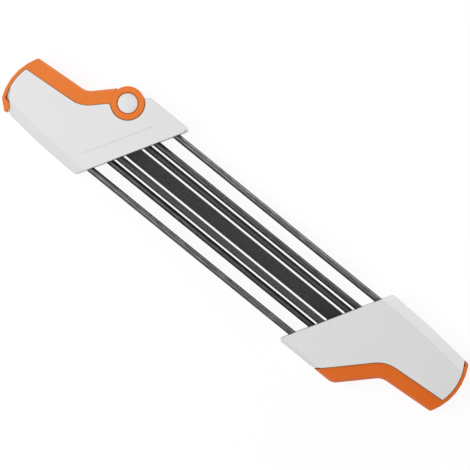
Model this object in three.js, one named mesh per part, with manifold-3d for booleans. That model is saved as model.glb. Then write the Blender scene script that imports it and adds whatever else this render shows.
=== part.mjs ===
// Chainsaw file guide: a frame that carries two round files and one flat file over a saw chain.
// Two moulded heads, one at each end, are joined by four steel rods. The three files lie between
// the rods. The left head holds a lever with a hub at its root: closing it turns an eccentric
// that pulls a clamp down on the files. The right head has a fixed grip cover and a blind socket.
// Millimetres. X runs along the files, Y across them, Z up. The origin is the middle of the
// underside. Both heads are drawn as the left one; the right one is turned half round about Z.
import * as THREE from 'three';
import { mergeVertices } from 'three/addons/utils/BufferGeometryUtils.js';
import Module from 'manifold-3d';

const wasm = await Module();
wasm.setup();

// Driving sizes of the whole guide
const overallLength = 360;
const overallWidth = 71;
const bodyThickness = 25;
const exposedLength = 173.2;
const filingAngle = THREE.MathUtils.degToRad(30);
const openingClearance = 0.4;
const seatClearance = 0.3;
const cutOverrun = 5;
const mergeDistance = 0.0001;

// Rods and files
const outerRodInset = 9;
const railSpacing = 28.6;
const roundFileSpacing = 17.1;
const rodDiameter = 4.5;
const rodEndChamfer = 0.6;
const rodNeckDepth = 0.65;
const rodNeckLength = 2.4;
const rodNeckFromEnd = 3.5;
const outerRodSeat = 21.5;
const railSeat = 23.3;
const roundFileDiameter = 4.8;
const flatFileWidth = 9.8;
const flatFileThickness = 3;
const flatFileEdgeRound = 0.5;
const depthGaugeSetting = 0.65;
const fileProudShare = 0.2;
const fileNoseSeat = 16;
const fileTangLength = 8;
const fileTangDiameter = 2.6;
const fileNoseTaper = 1.5;

// Hub of the lever, placed from the cut face and from the middle line of the files
const hubBehindCut = 22.8;
const hubRise = 23;
const hubRadius = 11.3;
const hubChamfer = 0.5;
const hubBossInset = 0.5;
const hubWebGap = 1.6;
const hubFillet = 2.5;
const collarFromPivot = 8.9;
const leverSwing = THREE.MathUtils.degToRad(100);

// Head outline. Rises are above the middle line of the files, the lower one above the belly.
const shoulderBehindHub = 2.7;
const shoulderRadius = 8;
const bendBehindHub = 26.1;
const bendRise = 12.1;
const bendRadius = 10;
const endUpperRise = 9;
const endLowerRise = 4.1;
const endBulge = 5.6;
const bellyShare = 0.5;
const bellyRise = 1.1;
const soleShare = 0.91;
const cornerRadius = 1.6;
const endCornerRadius = 2;
const leastRoundShare = 1 / 3;

// Edges of the head: how far each side of the outline draws in at the flat faces. The profile is
// pairs of the share of the height and the share drawn in: a small round, then a flat facet.
const roundHeight = 5;
const bellyRound = 6.8;
const shoulderRound = 2.2;
const gripRound = 1.6;
const endRound = 0.8;
const edgeProfileShares = [[0, 0], [0.16, 0.04], [0.32, 0.15], [1, 1]];
const seamGroove = 0.3;

// Shell walls and the places of the parts inside
const shellWall = 2.2;
const screwBossRadius = 4.4;
const screwPilotRadius = 1.5;
const ribThickness = 1.6;
const ribHalfWidth = 3;

// Lever and grip cover: a channel that wraps a thinner tongue of the shells
const gripBand = 10.4;
const leverDiagonalBand = 9.4;
const coverDiagonalBand = 10.4;
const endBand = 2.7;
const channelWeb = 2.2;
const channelLeg = 2.2;
const channelStep = 0.6;

// Caps, shaft and eccentric of the hub
const capRadius = 6.7;
const capThickness = 1.1;
const capDome = 0.5;
const capDraft = 0.4;
const keySize = 4;
const keyDepth = 4.5;
const journalRadius = 4;
const journalCollar = 2.2;
const journalCollarLength = 3;
const eccentricRadius = 4.6;
const eccentricOffset = 0.8;
const eccentricThickness = 6.4;
const strapWall = 2.3;

// File clamp and socket
const clampLength = 10;
const clampWall = 3.25;
const clampSkin = 1.7;
const stemWidth = 8;
const strapHeight = 5.6;
const anvilLength = 6;
const anvilOpenSide = 0.55;
const socketLength = 10;
const socketDepth = 6;

// Catch at the free end of the lever, a hook. Its outer edge leaves the end of the head at the first
// place, turns at the second and ends in the tip. All three are from the lower end corner of the head.
const catchFrom = { reach: -3, rise: 6.5 };
const catchTurn = { reach: -0.5, rise: 3.6 };
const catchEnd = { reach: 5, rise: -1.2 };
const catchDepth = 3.3;
const catchTopRise = 5.1;
const catchWall = 1.4;
const catchWallRise = 9.1;
const catchLean = THREE.MathUtils.degToRad(0.8);

// Sight line for the filing angle, a groove in the upper face of the lever's head
const sightLineBehindCut = 12.4;
const sightLineHalfLength = 21;
const sightLineWidth = 0.8;
const sightLineDepth = 0.4;

// Screws
const screwShankRadius = 1.3;
const screwHeadRadius = 2.7;
const screwHeadHeight = 2;
const screwSocketRadius = 1.2;
const screwSocketDepth = 1.2;
const screwHeadSink = 5;
const screwReach = 6.5;
const gripScrewFromEnd = 20;
const gripScrewRise = 16.5;

// Facets
const hubSteps = 28;
const barSteps = 14;
const smallSteps = 10;
const bendSteps = 4;
const cornerSteps = 2;
const endArcSteps = 6;
const discSteps = 96;
const meetSteps = 12;

// Worked out from the sizes above
const middle = bodyThickness / 2;
const halfWidth = overallWidth / 2;
const headEnd = -overallLength / 2;
const cutFace = (y) => -exposedLength / 2 + y * Math.tan(filingAngle);
const pivot = new THREE.Vector2(cutFace(0) - hubBehindCut, hubRise);
const tongueHeight = middle - channelStep - channelLeg - openingClearance;
const legUnderside = middle - channelStep - channelLeg;
const rodRadius = rodDiameter / 2;
const fileRadius = roundFileDiameter / 2;
const railLift = rodRadius + depthGaugeSetting - flatFileThickness / 2;
const fileDrop = fileRadius + flatFileThickness / 2 - depthGaugeSetting - fileProudShare * roundFileDiameter;
const fileShankEnd = pivot.x - clampLength / 2 - cornerRadius;
const fileNose = exposedLength / 2 + fileNoseSeat;
const outerRodY = halfWidth - outerRodInset;
const filesHalfWidth = roundFileSpacing / 2 + fileRadius;

const materials = {
  white: new THREE.MeshStandardMaterial({ color: 0xe4e3e3, roughness: 0.42, metalness: 0 }),
  orange: new THREE.MeshStandardMaterial({ color: 0xea6a1e, roughness: 0.5, metalness: 0 }),
  rod: new THREE.MeshStandardMaterial({ color: 0x8d8f92, roughness: 0.35, metalness: 1 }),
  file: new THREE.MeshStandardMaterial({ color: 0x3c3c3f, roughness: 0.45, metalness: 1 }),
  inner: new THREE.MeshStandardMaterial({ color: 0x4a4c50, roughness: 0.6, metalness: 0 }),
  screw: new THREE.MeshStandardMaterial({ color: 0xb9bbbd, roughness: 0.3, metalness: 1 }),
};

// A closed three.js geometry as a solid that can be joined and cut
function solid(geometry) {
  const bare = geometry.index ? geometry.toNonIndexed() : geometry.clone();
  bare.deleteAttribute('normal');
  bare.deleteAttribute('uv');
  const merged = mergeVertices(bare, mergeDistance);
  return new wasm.Manifold(new wasm.Mesh({
    numProp: 3,
    vertProperties: merged.attributes.position.array,
    triVerts: new Uint32Array(merged.index.array),
  }));
}

function geometryOf(made) {
  const mesh = made.simplify(mergeDistance).getMesh();
  const geometry = new THREE.BufferGeometry();
  const positions = new Float32Array(mesh.vertProperties);
  geometry.setAttribute('position', new THREE.BufferAttribute(positions, 3));
  geometry.setIndex(new THREE.BufferAttribute(new Uint32Array(mesh.triVerts), 1));
  return geometry;
}

const join = (first, ...others) => others.reduce((all, next) => all.add(next), first);
const cut = (first, ...others) => others.reduce((all, next) => all.subtract(next), first);

// A flat outline pushed up from one height to another
function prism(points, low, high) {
  const options = { depth: high - low, bevelEnabled: false };
  return solid(new THREE.ExtrudeGeometry(new THREE.Shape(points), options).translate(0, 0, low));
}

function block(x0, x1, y0, y1, z0, z1) {
  return solid(new THREE.BoxGeometry(x1 - x0, y1 - y0, z1 - z0)
    .translate((x0 + x1) / 2, (y0 + y1) / 2, (z0 + z1) / 2));
}

function upright(x, y, radius, low, high, steps = smallSteps) {
  return solid(new THREE.CylinderGeometry(radius, radius, high - low, steps)
    .rotateX(Math.PI / 2).translate(x, y, (low + high) / 2));
}

// A round bar along X, turned from pairs of place and radius
function turnedBar(profile, y, z, steps = barSteps) {
  const points = profile.map(([x, radius]) => new THREE.Vector2(radius, x));
  return solid(new THREE.LatheGeometry(points, steps).rotateZ(-Math.PI / 2).translate(0, y, z));
}

// Rings of points at rising heights, joined into one closed skin
function loft(rings) {
  const count = rings[0].points.length;
  const positions = rings.flatMap((ring) => ring.points.flatMap((p) => [p.x, p.y, ring.z]));
  const index = [];
  for (let level = 0; level + 1 < rings.length; level++) {
    for (let i = 0; i < count; i++) {
      const a = level * count + i;
      const b = level * count + (i + 1) % count;
      index.push(a, b, b + count, a, b + count, a + count);
    }
  }
  const top = (rings.length - 1) * count;
  for (const [a, b, c] of THREE.ShapeUtils.triangulateShape(rings[0].points, [])) index.push(a, c, b);
  for (const [a, b, c] of THREE.ShapeUtils.triangulateShape(rings[rings.length - 1].points, [])) {
    index.push(top + a, top + b, top + c);
  }
  const geometry = new THREE.BufferGeometry();
  geometry.setAttribute('position', new THREE.Float32BufferAttribute(positions, 3));
  geometry.setIndex(index);
  return solid(geometry);
}

// A straight side of the outline, moved inwards
function sideLine(from, to, inset) {
  const along = to.clone().sub(from).normalize();
  return { from: new THREE.Vector2(from.x - along.y * inset, from.y + along.x * inset), along };
}

function meet(first, second) {
  const gap = second.from.clone().sub(first.from);
  const reach = gap.cross(second.along) / first.along.cross(second.along);
  return first.from.clone().addScaledVector(first.along, reach);
}

// The corners of a head, anticlockwise, each with the name of the side that leaves it. Every side is
// drawn in by its own amount. The end of the head bulges between the grip and the belly.
function headCorners(insets) {
  const inset = (side) => insets[side] ?? 0;
  const upperY = endUpperRise;
  const lowerY = endLowerRise - halfWidth;
  const onEnd = (y, amount) => {
    const share = (2 * y - upperY - lowerY) / (upperY - lowerY);
    const slope = 4 * endBulge * share / (upperY - lowerY);
    return new THREE.Vector2(headEnd + endBulge * share ** 2 + amount * Math.hypot(1, slope), y);
  };
  const meetEnd = (line) => {
    let at = line.from;
    for (let i = 0; i < meetSteps; i++) {
      at = onEnd(line.from.y + (at.x - line.from.x) * line.along.y / line.along.x, inset('end'));
    }
    return at;
  };
  const heel = new THREE.Vector2(cutFace(-halfWidth), -halfWidth);
  const toe = new THREE.Vector2(cutFace(halfWidth), halfWidth);
  const shoulder = new THREE.Vector2(pivot.x - shoulderBehindHub, halfWidth);
  const bend = new THREE.Vector2(pivot.x - bendBehindHub, bendRise);
  const upper = onEnd(upperY, 0);
  const lower = onEnd(lowerY, 0);
  const below = (share, rise) =>
    new THREE.Vector2(THREE.MathUtils.lerp(lower.x, heel.x, share), rise - halfWidth);
  const belly = below(bellyShare, bellyRise);
  const sole = below(soleShare, 0);
  const lines = {
    cut: sideLine(heel, toe, inset('cut')),
    shoulder: sideLine(toe, shoulder, inset('shoulder')),
    diagonal: sideLine(shoulder, bend, inset('diagonal')),
    grip: sideLine(bend, upper, inset('grip')),
    rear: sideLine(lower, belly, inset('belly')),
    belly: sideLine(belly, sole, inset('belly')),
    sole: sideLine(sole, heel, inset('belly')),
  };
  const gripEnd = meetEnd(lines.grip);
  const rearEnd = meetEnd(lines.rear);
  const corner = (at, side, radius = 0, steps = 0) => ({ x: at.x, y: at.y, side, radius, steps });
  const sharper = (radius, before, after) =>
    Math.max(radius - Math.min(inset(before), inset(after)), radius * leastRoundShare);
  const turn = (before, after, radius, steps) =>
    corner(meet(lines[before], lines[after]), after, sharper(radius, before, after), steps);
  const between = Array.from({ length: endArcSteps - 1 }, (_, i) =>
    corner(onEnd(THREE.MathUtils.lerp(gripEnd.y, rearEnd.y, (i + 1) / endArcSteps), inset('end')), 'end'));
  const bendInset = Math.min(inset('diagonal'), inset('grip'));
  return [
    turn('sole', 'cut', cornerRadius, cornerSteps),
    turn('cut', 'shoulder', cornerRadius, cornerSteps),
    turn('shoulder', 'diagonal', shoulderRadius, bendSteps),
    corner(meet(lines.diagonal, lines.grip), 'grip', bendRadius + bendInset, bendSteps),
    corner(gripEnd, 'end', sharper(endCornerRadius, 'grip', 'end'), cornerSteps),
    ...between,
    corner(rearEnd, 'belly', sharper(cornerRadius, 'end', 'belly'), cornerSteps),
    corner(meet(lines.rear, lines.belly), 'belly'),
    corner(meet(lines.belly, lines.sole), 'belly'),
  ];
}

// Replaces the shoulder corner by the way round the lever's hub
function roundHub(corners) {
  const at = corners.findIndex((corner) => corner.side === 'diagonal');
  const [shoulder, bend] = [corners[at], corners[at + 1]];
  const along = new THREE.Vector2(bend.x - shoulder.x, bend.y - shoulder.y).normalize();
  const reach = along.dot(new THREE.Vector2(pivot.x - shoulder.x, pivot.y - shoulder.y)) + hubRadius / 2;
  const plain = { radius: 0, steps: 0 };
  return [
    ...corners.slice(0, at),
    { x: pivot.x + collarFromPivot, y: shoulder.y, side: 'hub', radius: cornerRadius, steps: cornerSteps },
    { x: pivot.x, y: pivot.y, side: 'hub', ...plain },
    { x: shoulder.x + along.x * reach, y: shoulder.y + along.y * reach, side: 'diagonal', ...plain },
    ...corners.slice(at + 1),
  ];
}

// Rounds each corner with its own radius, always with the same number of points
function rounded(corners) {
  return corners.flatMap((corner, i) => {
    if (!corner.steps) return [new THREE.Vector2(corner.x, corner.y)];
    const before = corners[(i + corners.length - 1) % corners.length];
    const after = corners[(i + 1) % corners.length];
    const here = new THREE.Vector2(corner.x, corner.y);
    const back = new THREE.Vector2(before.x, before.y).sub(here);
    const on = new THREE.Vector2(after.x, after.y).sub(here);
    const half = back.angleTo(on) / 2;
    const room = Math.min(back.length(), on.length()) / 2;
    const tangent = Math.min(corner.radius / Math.tan(half), room);
    const start = here.clone().addScaledVector(back.normalize(), tangent);
    const stop = here.clone().addScaledVector(on.normalize(), tangent);
    const radius = tangent * Math.tan(half);
    const centre = here.clone().addScaledVector(back.clone().add(on).normalize(), radius / Math.sin(half));
    const first = start.clone().sub(centre).angle();
    let sweep = stop.clone().sub(centre).angle() - first;
    if (sweep > Math.PI) sweep -= 2 * Math.PI;
    if (sweep < -Math.PI) sweep += 2 * Math.PI;
    return Array.from({ length: corner.steps + 1 }, (_, k) => {
      const angle = first + sweep * k / corner.steps;
      return new THREE.Vector2(centre.x + radius * Math.cos(angle), centre.y + radius * Math.sin(angle));
    });
  });
}

// How far the edge has drawn in at a height above the middle, as a share of its full amount
function roundShare(height, top) {
  const part = THREE.MathUtils.clamp((height - (top - roundHeight)) / roundHeight, 0, 1);
  const next = Math.max(1, edgeProfileShares.findIndex(([at]) => at >= part));
  const [[low, drawn], [high, further]] = edgeProfileShares.slice(next - 1, next + 1);
  return THREE.MathUtils.mapLinear(part, low, high, drawn, further);
}

const edgeRounds = { cut: 0, shoulder: shoulderRound, hub: 0, diagonal: gripRound, grip: gripRound,
  end: endRound, belly: bellyRound };

// The same bands, with every side drawn in by a further amount
const everySide = (bands, amount) =>
  Object.fromEntries(Object.keys(edgeRounds).map((side) => [side, (bands[side] ?? 0) + amount]));

// Heights above the middle at which the edge gets a ring of points; a hollow has only its ends
function roundHeights(top, upTo, hollow = false) {
  const profile = hollow ? edgeProfileShares.slice(0, 1) : edgeProfileShares;
  const heights = profile.map(([at]) => top - roundHeight + roundHeight * at);
  return [0, ...heights.filter((height) => height < upTo), upTo];
}

// One ring of a head: its outline with every side drawn in by its band and by its rounded edge
function headRing(z, share, bands, roundedSides, hub) {
  const insets = {};
  for (const side of Object.keys(edgeRounds)) {
    insets[side] = (bands[side] ?? 0) + (roundedSides.includes(side) ? share * edgeRounds[side] : 0);
  }
  const corners = headCorners(insets);
  return { z, points: rounded(hub ? roundHub(corners) : corners) };
}

// The heights between two levels above the middle (side 1) or below it (side -1)
const halfSpan = (side, low, high) =>
  (side > 0 ? [middle + low, middle + high] : [middle - high, middle - low]);

// Half of a head, from the seam up (side 1) or down (side -1), hollow or not
function headHalf(side, { top = middle, upTo = top, from = 0, bands = {}, groove = 0, hub = false,
  roundedSides = Object.keys(edgeRounds), hollow = false }) {
  const rings = roundHeights(top, upTo, hollow).map((height) => {
    const drawn = height === 0 ? everySide(bands, groove) : bands;
    return headRing(middle + side * height, roundShare(height, top), drawn, roundedSides, hub);
  });
  if (groove) {
    rings.splice(1, 0, headRing(middle + side * groove, 0, bands, roundedSides, hub));
  }
  if (from < 0) rings[0].z = middle + side * from;
  return loft(side > 0 ? rings : rings.reverse());
}

// A head from underside to top side, for the pieces that wrap round its edge
function headWhole(top, bands = {}) {
  const heights = roundHeights(top, top).slice(1);
  const ring = (height, side) =>
    headRing(middle + side * height, roundShare(height, top), bands, Object.keys(edgeRounds), false);
  const lower = heights.toReversed().map((height) => ring(height, -1));
  return loft([...lower, ...heights.map((height) => ring(height, 1))]);
}

// An upright prism on the head's outline with each side drawn in by its band
function headPrism(bands, low, high, hub = false) {
  return prism(headRing(0, 0, bands, [], hub).points, low, high);
}

const outside = { cut: -cutOverrun, shoulder: -cutOverrun, belly: -cutOverrun };

// The sides where a cover or lever wraps the head, drawn in by the same amounts
const wrapped = (diagonal, grip, end) => ({ diagonal, grip, end });
const tongueBands = wrapped(...Array(3).fill(channelWeb + openingClearance));

// The catch: a hook whose inner edge is an arc round the hub, so that it swings clear of the head
const catchCorner = headCorners({}).find((corner) => corner.side === 'belly');
const catchPlace = ({ reach, rise }) => new THREE.Vector2(catchCorner.x + reach, catchCorner.y + rise);
const catchTip = catchPlace(catchEnd);
const catchRadius = (depth) => catchTip.distanceTo(pivot) - depth;
const beyondCorner = new THREE.Vector2(headEnd - cutOverrun, -halfWidth - cutOverrun);

// The hook's place in plan, up to a rise above the corner and on past its outer edge
function catchOutline(rise) {
  const radius = catchRadius(catchDepth);
  const tip = catchTip.clone().sub(pivot).angle() - catchLean;
  const top = Math.PI - Math.asin((catchCorner.y + rise - pivot.y) / radius);
  const arc = Array.from({ length: bendSteps + 1 }, (_, k) =>
    new THREE.Vector2(radius, 0).rotateAround(new THREE.Vector2(), tip + (top - tip) * k / bendSteps)
      .add(pivot));
  const inStrip = catchPlace(catchFrom).add(new THREE.Vector2(endBand / 2, 0));
  return [...arc, inStrip, beyondCorner, catchTip.clone().lerp(arc[0], -1)];
}

// A hook above and below the head's tongue, and a thinner wall between them that reaches higher
function catchSolid() {
  const between = [middle - legUnderside, middle + legUnderside];
  return cut(
    join(prism(catchOutline(catchTopRise), channelStep, bodyThickness - channelStep),
      prism(catchOutline(catchWallRise), ...between)),
    upright(pivot.x, pivot.y, catchRadius(catchWall), ...between, discSteps),
  );
}

// What the hook's outer edge takes off the end of the lever
function catchCorners() {
  const [from, turn] = [catchPlace(catchFrom), catchPlace(catchTurn)];
  const outline = [turn.clone().lerp(from, 2), turn, turn.clone().lerp(catchTip, 2), beyondCorner];
  return prism(outline, -cutOverrun, bodyThickness + cutOverrun);
}

// Bars as turned profiles; extra is the clearance that a seat adds all round
function rodProfile(x0, x1, extra = 0) {
  const neck = rodNeckLength / 2 - extra;
  const radius = rodRadius + extra;
  const neckRadius = rodRadius - rodNeckDepth + extra;
  const necks = [x0 + rodNeckFromEnd + rodNeckLength / 2, x1 - rodNeckFromEnd - rodNeckLength / 2];
  return [
    [x0 - extra, 0], [x0 - extra, radius - rodEndChamfer], [x0 + rodEndChamfer - extra, radius],
    ...necks.flatMap((x) =>
      [[x - neck, radius], [x - neck, neckRadius], [x + neck, neckRadius], [x + neck, radius]]),
    [x1 - rodEndChamfer + extra, radius], [x1 + extra, radius - rodEndChamfer], [x1 + extra, 0],
  ];
}

// The four rods: two outer ones at mid height, two rails that set the filing height
const railY = railSpacing / 2;
const rods = [
  { name: 'outer_rod_rear', y: outerRodY, z: middle, seat: outerRodSeat },
  { name: 'guide_rail_rear', y: railY, z: middle + railLift, seat: railSeat },
  { name: 'outer_rod_front', y: -outerRodY, z: middle, seat: outerRodSeat },
  { name: 'guide_rail_front', y: -railY, z: middle - railLift, seat: railSeat },
].map((rod) => {
  const start = cutFace(rod.y);
  return { ...rod, x0: start - rod.seat, x1: start + exposedLength + rod.seat };
});

const rodSolid = (rod, extra = 0) => turnedBar(rodProfile(rod.x0, rod.x1, extra), rod.y, rod.z);

const roundFiles = [1, -1].map((way) => ({
  name: way > 0 ? 'round_file_rear' : 'round_file_front',
  y: way * roundFileSpacing / 2,
  z: middle - way * fileDrop,
}));

// A round file: plain tapered nose, cut body and a thin tang
const tangEnd = fileShankEnd - fileTangLength;
const roundFileProfile = [
  [tangEnd, 0], [tangEnd, fileTangDiameter / 4], [fileShankEnd - fileNoseTaper, fileTangDiameter / 2],
  [fileShankEnd, fileRadius], [fileNose - fileNoseTaper, fileRadius], [fileNose, fileRadius - rodEndChamfer],
  [fileNose, 0],
];

// The flat file: its edges are broken along its length, and its tail is drawn in to a tang
function flatFileSolid() {
  const half = flatFileWidth / 2;
  const tang = fileTangDiameter / 2;
  const thick = flatFileThickness / 2;
  const edge = flatFileEdgeRound;
  const shoulder = fileShankEnd - fileNoseTaper;
  const plan = [[tangEnd, -tang], [shoulder, -tang], [fileShankEnd, -half], [fileNose, -half],
    [fileNose, half], [fileShankEnd, half], [shoulder, tang], [tangEnd, tang]];
  const section = [[-half, edge - thick], [edge - half, -thick], [half - edge, -thick], [half, edge - thick],
    [half, thick - edge], [half - edge, thick], [edge - half, thick], [-half, thick - edge]];
  const points = (pairs) => pairs.map(([x, y]) => new THREE.Vector2(x, y));
  const bar = prism(points(section), tangEnd - cutOverrun, fileNose + cutOverrun)
    .rotate([90, 0, 90]).translate([0, 0, middle]);
  return prism(points(plan), middle - thick, middle + thick).intersect(bar);
}

// The files with the clearance of their seats, to cut what holds them. The holes for the files run
// straight back past their tangs, so that a file can be pushed back to free its nose.
function fileCutters() {
  const low = tangEnd - seatClearance;
  const high = fileNose + seatClearance;
  const radius = fileRadius + seatClearance;
  const half = flatFileWidth / 2 + seatClearance;
  const thick = flatFileThickness / 2 + seatClearance;
  const round = [[low, 0], [low, radius], [high, radius], [high, 0]];
  return [
    ...roundFiles.map((file) => turnedBar(round, file.y, file.z)),
    block(low, high, -half, half, middle - thick, middle + thick),
  ];
}
const seatCutters = () => [...rods.map((rod) => rodSolid(rod, seatClearance)), ...fileCutters()];

// Places of the screws of a head, all clear of the rods
const gapBetweenRods = (outerRodY + railY) / 2;
const screwPlaces = [
  [headEnd + gripScrewFromEnd, -halfWidth + gripScrewRise],
  [cutFace(gapBetweenRods) - cutOverrun * 2, gapBetweenRods],
  [cutFace(-gapBetweenRods) - cutOverrun * 3, -gapBetweenRods],
];

// The eccentric's throw is level with the slide halfway through the swing, so the clamp follows the
// lever almost in proportion. Closed, the throw points down and away from the cut face.
const throwAngle = (turn) => Math.PI + (leverSwing / 2 - turn);
const throwAt = (turn) => new THREE.Vector2(Math.cos(throwAngle(turn)), Math.sin(throwAngle(turn)))
  .multiplyScalar(eccentricOffset);
const clampTravel = throwAt(leverSwing).y - throwAt(0).y;

// Where the blocks that hold the files stand, as [low, high] along X
const clampSpan = [pivot.x - clampLength / 2, pivot.x + clampLength / 2];
const anvilStart = clampSpan[1] + ribThickness + 2 * seatClearance;
const anvilSpan = [anvilStart, anvilStart + anvilLength];
const socketSpan = [fileNose - socketDepth, fileNose - socketDepth + socketLength];
const ribBefore = (x) => x - seatClearance - ribThickness / 2;
const ribAfter = (x) => x + seatClearance + ribThickness / 2;

// Ribs that drop into the necks of the rods and stop them sliding out
function neckRibs(side) {
  return rods.map((rod) => {
    const x = rod.x0 + rodNeckFromEnd + rodNeckLength / 2;
    return block(x - ribThickness / 2, x + ribThickness / 2, rod.y - ribHalfWidth, rod.y + ribHalfWidth,
      ...halfSpan(side, 0, middle));
  });
}

// A cross rib that the files pass through
function fileRib(side, x) {
  const half = railSpacing / 2 - rodRadius;
  return block(x - ribThickness / 2, x + ribThickness / 2, -half, half, ...halfSpan(side, 0, middle));
}

// One half shell of a head: a thin skin over two levels, the full height in the middle and a thinner
// tongue where the lever or the cover wraps it, with its ribs and screw bosses
function shellHalf(side, { diagonalBand, hub, ribPlaces }) {
  const lap = openingClearance;
  const edge = hub ? 0 : channelWeb + lap;
  const skin = shellWall / 2;
  const capBands = wrapped(diagonalBand + lap, gripBand + lap, endBand + lap);
  const tongue = { ...tongueBands, cut: skin, shoulder: Math.max(skin, edge), belly: skin };
  const roundedSides = ['belly', 'shoulder'];
  const recess = () => upright(pivot.x, pivot.y, hubRadius + lap,
    ...halfSpan(side, tongueHeight, middle + cutOverrun), hubSteps);
  const levels = (inset) => {
    const seam = { hub, hollow: inset > 0, groove: inset ? 0 : seamGroove, from: inset ? -cutOverrun : 0 };
    const cap = headHalf(side,
      { ...seam, roundedSides, bands: everySide(capBands, inset), top: middle - inset });
    const base = headHalf(side, { ...seam, roundedSides, bands: everySide(tongue, inset),
      top: tongueHeight + lap, upTo: tongueHeight - inset });
    if (!hub) return join(cap, base);
    const clearOfCatch = (depth) => upright(pivot.x, pivot.y, catchRadius(depth) - lap - inset,
      -cutOverrun, bodyThickness + cutOverrun, discSteps);
    const recessed = cut(cap, upright(pivot.x, pivot.y, hubRadius + lap + inset,
      ...halfSpan(side, tongueHeight - inset, middle + cutOverrun), hubSteps));
    const boss = upright(pivot.x, pivot.y, hubRadius - hubBossInset - inset,
      ...halfSpan(side, inset ? -cutOverrun : 0, tongueHeight - inset), hubSteps);
    return join(recessed.intersect(clearOfCatch(catchDepth)), base.intersect(clearOfCatch(catchWall)), boss);
  };
  const outer = levels(0);
  const bosses = screwPlaces.map(([x, y]) => upright(x, y, screwBossRadius, ...halfSpan(side, 0, middle)));
  const ribs = [...neckRibs(side), ...ribPlaces.map((x) => fileRib(side, x))];
  const inner = join(...bosses, ...ribs).intersect(levels(skin));
  let shell = join(cut(outer, levels(shellWall)), inner);
  if (hub) {
    const collar = upright(pivot.x, pivot.y, journalRadius + journalCollar,
      ...halfSpan(side, tongueHeight - shellWall - journalCollarLength, tongueHeight - skin));
    const bore = upright(pivot.x, pivot.y, journalRadius + seatClearance,
      ...halfSpan(side, 0, middle), hubSteps);
    const fillet = prism(filletOutline(lap), ...halfSpan(side, tongueHeight, middle + cutOverrun));
    shell = cut(join(shell, collar), bore, recess(), fillet);
    if (side > 0) shell = cut(shell, sightLine());
  }
  return cut(shell, ...screwPlaces.flatMap(([x, y]) => screwHoles(side, x, y)));
}

// The groove that runs beside the cut face at the filing angle
function sightLine() {
  const half = sightLineWidth / Math.cos(filingAngle) / 2;
  const at = (y, across) => new THREE.Vector2(cutFace(y) - sightLineBehindCut + across, y);
  const [low, high] = [-sightLineHalfLength, sightLineHalfLength];
  return prism([at(low, -half), at(low, half), at(high, half), at(high, -half)],
    bodyThickness - sightLineDepth, bodyThickness + cutOverrun);
}

// The hole of a screw: a deep seat for its head in the lower half, a pilot hole in the upper one
function screwHoles(side, x, y) {
  const tip = middle + screwReach + seatClearance;
  const seat = screwHeadSink + screwHeadHeight + seatClearance;
  if (side > 0) return [upright(x, y, screwPilotRadius, middle - seatClearance, tip)];
  return [
    upright(x, y, screwShankRadius + seatClearance, screwHeadSink, middle + seatClearance),
    upright(x, y, screwHeadRadius + seatClearance, -cutOverrun, seat),
  ];
}

// A screw that stands head down, with a hexagon socket
function screw(x, y) {
  const top = middle + screwReach;
  const points = [[0, screwHeadSink], [screwHeadRadius, screwHeadSink],
    [screwHeadRadius, screwHeadSink + screwHeadHeight], [screwShankRadius, screwHeadSink + screwHeadHeight],
    [screwShankRadius, top - screwShankRadius], [0, top]].map(([r, z]) => new THREE.Vector2(r, z));
  const body = solid(new THREE.LatheGeometry(points, smallSteps).rotateX(Math.PI / 2).translate(x, y, 0));
  const hexagon = 6;
  const socketTop = screwHeadSink + screwSocketDepth;
  return cut(body, upright(x, y, screwSocketRadius, screwHeadSink - cutOverrun, socketTop, hexagon));
}

// A place near the hub, along the arm towards the bend and across it away from the shoulder
function besideHub(along, across) {
  const way = new THREE.Vector2(shoulderBehindHub - bendBehindHub, bendRise - halfWidth).normalize();
  const side = new THREE.Vector2(-way.y, way.x);
  return pivot.clone().addScaledVector(way, along).addScaledVector(side, across);
}

// The web of metal in the corner between the ring and the inner edge of the arm, drawn in by an amount
function filletOutline(amount) {
  const shoulder = new THREE.Vector2(pivot.x - shoulderBehindHub, halfWidth);
  const way = besideHub(1, 0).sub(pivot);
  const edge = leverDiagonalBand - Math.abs(way.cross(shoulder.sub(pivot))) + amount;
  const radius = hubFillet - amount;
  const across = edge + radius;
  const along = Math.sqrt((hubRadius + hubFillet) ** 2 - across ** 2);
  const turn = Math.atan2(along, across);
  const arc = Array.from({ length: bendSteps + 1 }, (_, k) => {
    const angle = turn * (1 - k / bendSteps);
    return besideHub(along - radius * Math.sin(angle), across - radius * Math.cos(angle));
  });
  const intoArm = arc[bendSteps - 1].clone().lerp(arc[bendSteps], 2);
  return [besideHub((capRadius + hubRadius) / 2, edge - hubFillet), ...arc.slice(0, -1), intoArm].reverse();
}

// The channel that wraps the tongue of a head: two legs joined by a web round the outer edge
function channel(diagonalBand, shoulderWeb, bodyBands = {}) {
  const inside = wrapped(channelWeb, channelWeb, channelWeb);
  const open = wrapped(diagonalBand, gripBand, endBand);
  return cut(
    headWhole(middle - channelStep, bodyBands),
    headPrism({ ...outside, ...inside, ...(shoulderWeb ? { shoulder: channelWeb } : {}) },
      middle - legUnderside, middle + legUnderside),
    headPrism({ ...outside, ...open }, -cutOverrun, bodyThickness + cutOverrun),
  );
}

// A ring of the lever round its hub, with a seat for the cap and a square hole for its key
function hubRing(side) {
  const seat = capThickness + capDome;
  const keyHalf = keySize / 2 + seatClearance;
  const profile = [[0, legUnderside], [hubRadius, legUnderside], [hubRadius, middle - hubChamfer],
    [hubRadius - hubChamfer, middle], [capRadius + seatClearance + capDraft, middle],
    [capRadius + seatClearance, middle - seat], [0, middle - seat]];
  const ring = solid(new THREE.LatheGeometry(profile.map(([r, z]) => new THREE.Vector2(r, z)), hubSteps)
    .rotateX(Math.PI / 2));
  const key = block(-keyHalf, keyHalf, -keyHalf, keyHalf, legUnderside - cutOverrun, middle + cutOverrun);
  const made = cut(ring, key);
  return (side > 0 ? made : made.rotate([180, 0, 0])).translate([pivot.x, pivot.y, middle]);
}

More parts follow.
